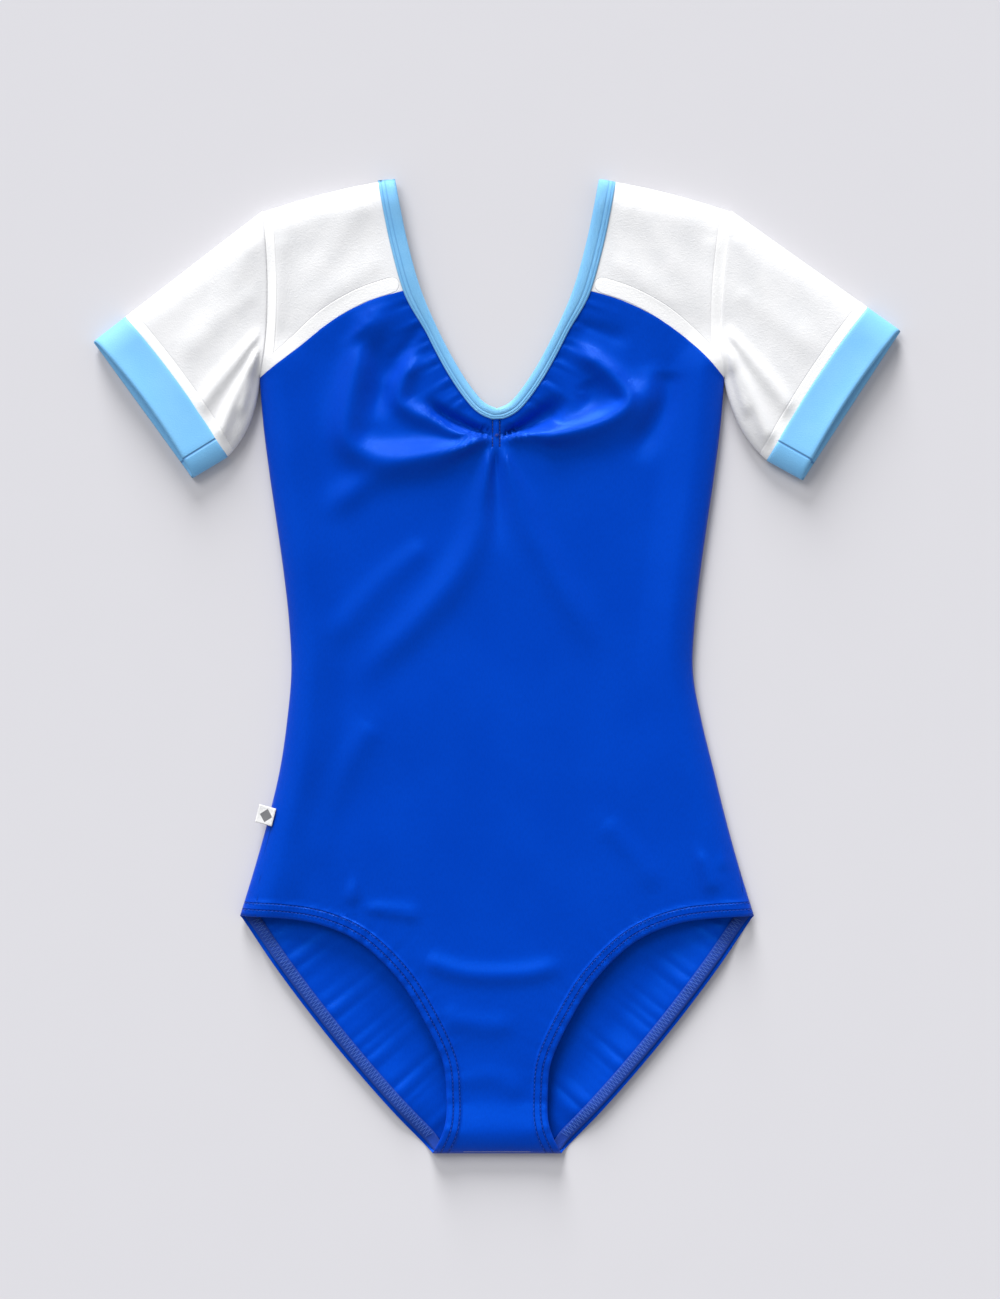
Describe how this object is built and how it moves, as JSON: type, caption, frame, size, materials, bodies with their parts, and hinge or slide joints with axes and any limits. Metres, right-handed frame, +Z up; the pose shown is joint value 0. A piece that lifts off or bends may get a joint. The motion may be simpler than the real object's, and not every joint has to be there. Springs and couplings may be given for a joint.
{
  "type": "gymnastics leotard",
  "caption": "Short-sleeved gymnastics leotard laid flat on its back: satin body, mesh yoke and sleeves, bound V neck, banded cuffs and elasticated leg openings.",
  "frame": {"origin": "middle of the flat garment's footprint, on the table it lies on", "axes": "+X across the garment to the wearer's left, +Y from the crotch to the shoulders, +Z up out of the front"},
  "size_m": [0.5616, 0.68, 0.012],
  "materials": {
    "royal_satin": "royal blue nylon and spandex tricot with a satin sheen",
    "sky_binding": "light blue nylon and spandex tricot",
    "white_mesh": "white stretch power mesh, slightly see-through",
    "lining": "white stretch lining, matt",
    "cotton_lining": "white cotton jersey, matt",
    "white_elastic": "white knitted elastic",
    "blue_elastic": "blue knitted elastic with zigzag stitching",
    "blue_overlock": "blue overlocked seam allowance",
    "white_overlock": "white overlocked seam allowance",
    "label_satin": "white printed satin ribbon"
  },
  "bodies": {
    "torso": {"front_panel": "royal_satin", "back_panel": "royal_satin", "front_lining": "lining", "gusset_lining": "cotton_lining", "neck_binding": "sky_binding", "neck_elastic": "white_elastic", "pinch_tape": "white_elastic", "left_front_yoke": "white_mesh", "left_back_yoke": "white_mesh", "left_leg_elastic": "blue_elastic", "left_side_seam": "blue_overlock", "left_shoulder_seam": "white_overlock", "left_armhole_seam": "white_overlock", "left_front_yoke_seam": "white_overlock", "left_back_yoke_seam": "white_overlock", "right_front_yoke": "white_mesh", "right_back_yoke": "white_mesh", "right_leg_elastic": "blue_elastic", "right_side_seam": "blue_overlock", "right_shoulder_seam": "white_overlock", "right_armhole_seam": "white_overlock", "right_front_yoke_seam": "white_overlock", "right_back_yoke_seam": "white_overlock"},
    "left_arm": {"left_sleeve": "white_mesh", "left_cuff": "sky_binding", "left_cuff_seam": "white_overlock", "left_underarm_seam": "white_overlock"},
    "right_arm": {"right_sleeve": "white_mesh", "right_cuff": "sky_binding", "right_cuff_seam": "white_overlock", "right_underarm_seam": "white_overlock"},
    "label": {"side_label": "label_satin"}
  },
  "joints": [
    {"name": "left_sleeve_fold", "type": "hinge", "parent": "torso", "child": "left_arm", "pos_m": [-0.16117, 0.259, 0.012], "axis": [0.0116, 0.9999, 0], "range_deg": [0, 165]},
    {"name": "right_sleeve_fold", "type": "hinge", "parent": "torso", "child": "right_arm", "pos_m": [0.15767, 0.259, 0.012], "axis": [-0.0487, -0.9988, 0], "range_deg": [0, 165]},
    {"name": "label_flip", "type": "hinge", "parent": "torso", "child": "label", "pos_m": [-0.15447, -0.10547, 0.01035], "axis": [0.2489, 0.9685, 0], "range_deg": [0, 110]}
  ]
}
